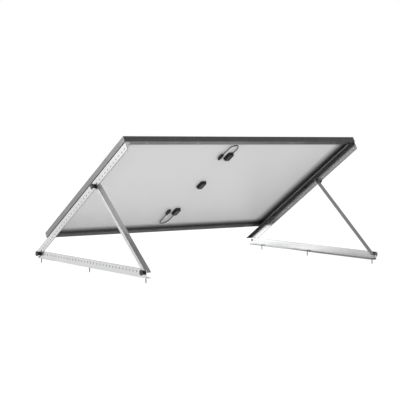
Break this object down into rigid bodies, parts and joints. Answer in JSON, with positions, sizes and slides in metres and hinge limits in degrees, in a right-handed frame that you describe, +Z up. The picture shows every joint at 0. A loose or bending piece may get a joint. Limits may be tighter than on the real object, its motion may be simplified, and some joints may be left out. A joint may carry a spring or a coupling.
{
  "type": "solar panel tilt mount",
  "caption": "Tilting rail mount that carries a framed solar panel on hinged perforated angle legs with struts, hand knobs and screw feet.",
  "frame": {"origin": "centre of the bounding box, on the plane of the foot screws' tips", "axes": "+X to the right along the panel's long side, -Y towards the raised rear edge, +Z up; the panel's front faces up and towards +Y"},
  "size_m": [1.7606, 1.3212, 0.8043],
  "materials": {
    "rail": "satin",
    "frame": "anodised satin",
    "key": "mill",
    "hardware": "zinc plated",
    "glass": "clear",
    "cell": "silicon under glass",
    "backsheet": "matte",
    "rubber": "matte",
    "black_plastic": "fine grain",
    "lead": "satin cable sheath"
  },
  "bodies": {
    "base": {"base_rail_left": "rail", "base_rail_right": "rail", "foot_screws": "hardware", "foot_washers": "rubber", "front_bolts": "hardware", "rear_studs": "hardware"},
    "panel": {"top_rail_left": "rail", "top_rail_right": "rail", "rail_bolts": "hardware", "rail_nuts": "hardware", "upper_bolts": "hardware", "pivot_spacers": "black_plastic", "frame_bottom": "frame", "frame_top": "frame", "frame_left": "frame", "frame_right": "frame", "corner_keys": "key", "glass": "glass", "solar_cells": "cell", "backsheet": "backsheet", "edge_seal": "rubber", "junction_box_lower": "black_plastic", "junction_box_middle": "black_plastic", "junction_box_upper": "black_plastic", "box_lids": "black_plastic", "gland_lower": "black_plastic", "gland_upper": "black_plastic", "lead_lower": "lead", "lead_upper": "lead", "plug_lower": "black_plastic", "plug_upper": "black_plastic"},
    "strut_left": {"strut_left": "rail", "foot_bolt_left": "hardware"},
    "strut_right": {"strut_right": "rail", "foot_bolt_right": "hardware"},
    "knob_front_left": {"knob_front_left": "black_plastic"},
    "knob_front_right": {"knob_front_right": "black_plastic"},
    "knob_upper_left": {"knob_upper_left": "black_plastic"},
    "knob_upper_right": {"knob_upper_right": "black_plastic"},
    "knob_rear_left": {"knob_rear_left": "black_plastic"},
    "knob_rear_right": {"knob_rear_right": "black_plastic"}
  },
  "joints": [
    {"name": "panel_tilt", "type": "hinge", "parent": "base", "child": "panel", "pos_m": [0, 0.6224, 0.063], "axis": [1, 0, 0], "range_deg": [-8, 29.66]},
    {"name": "strut_left_fold", "type": "hinge", "parent": "panel", "child": "strut_left", "pos_m": [-0.85, -0.09801, 0.516], "axis": [1, 0, 0], "range_deg": [-67.18, 18.48]},
    {"name": "strut_right_fold", "type": "hinge", "parent": "panel", "child": "strut_right", "pos_m": [0.85, -0.09801, 0.516], "axis": [1, 0, 0], "range_deg": [-67.18, 18.48]},
    {"name": "knob_front_left_turn", "type": "hinge", "parent": "base", "child": "knob_front_left", "pos_m": [-0.869, 0.6224, 0.063], "axis": [1, 0, 0], "continuous": true},
    {"name": "knob_front_right_turn", "type": "hinge", "parent": "base", "child": "knob_front_right", "pos_m": [0.869, 0.6224, 0.063], "axis": [1, 0, 0], "continuous": true},
    {"name": "knob_upper_left_turn", "type": "hinge", "parent": "panel", "child": "knob_upper_left", "pos_m": [-0.869, -0.09801, 0.516], "axis": [1, 0, 0], "continuous": true},
    {"name": "knob_upper_right_turn", "type": "hinge", "parent": "panel", "child": "knob_upper_right", "pos_m": [0.869, -0.09801, 0.516], "axis": [1, 0, 0], "continuous": true},
    {"name": "knob_rear_left_turn", "type": "hinge", "parent": "base", "child": "knob_rear_left", "pos_m": [-0.869, -0.6356, 0.063], "axis": [1, 0, 0], "continuous": true},
    {"name": "knob_rear_right_turn", "type": "hinge", "parent": "base", "child": "knob_rear_right", "pos_m": [0.869, -0.6356, 0.063], "axis": [1, 0, 0], "continuous": true}
  ],
  "couplings": [
    {"joint": "strut_left_fold", "follows": "panel_tilt", "ratio": -2.248},
    {"joint": "strut_right_fold", "follows": "panel_tilt", "ratio": -2.248}
  ]
}
